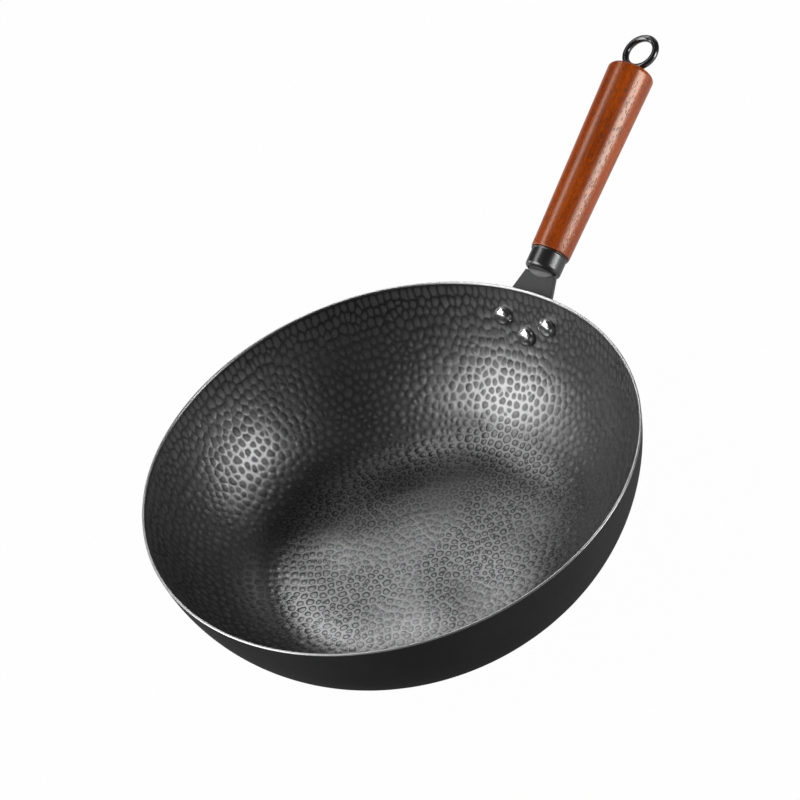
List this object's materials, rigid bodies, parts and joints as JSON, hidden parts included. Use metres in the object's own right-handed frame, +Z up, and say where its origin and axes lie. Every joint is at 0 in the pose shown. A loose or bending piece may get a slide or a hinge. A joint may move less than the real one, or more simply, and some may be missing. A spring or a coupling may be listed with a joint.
{
  "type": "wok",
  "caption": "Hammered iron wok with a flat base and a bright ground rim, and a long wooden handle riveted on by a bent steel strap, ending in a hanging eye.",
  "frame": {"origin": "middle of the flat base, on the surface it stands on", "axes": "+Z up along the bowl's axis, +X from the bowl's axis out along the handle"},
  "size_m": [0.5095, 0.32, 0.1743],
  "materials": {
    "iron": "dark satin iron, hammered inside, bare and bright on the rim",
    "strap_steel": "dark grey satin",
    "rivet_metal": "polished",
    "black_enamel": "gloss black",
    "lacquered_wood": "reddish brown, open pores, clear gloss lacquer"
  },
  "bodies": {
    "wok": {"wok_bowl": "iron", "handle_strap": "strap_steel", "rivet_left": "rivet_metal", "rivet_right": "rivet_metal", "rivet_lower": "rivet_metal", "strap_plug": "strap_steel", "ferrule": "black_enamel", "wood_grip": "lacquered_wood"},
    "eye": {"eye_bolt": "black_enamel"}
  },
  "joints": [
    {"name": "eye_bolt_turn", "type": "hinge", "parent": "wok", "child": "eye", "pos_m": [0.1814, 0, 0.0953], "axis": [0.9085, 0, 0.4179], "range_deg": [0, 450]}
  ]
}
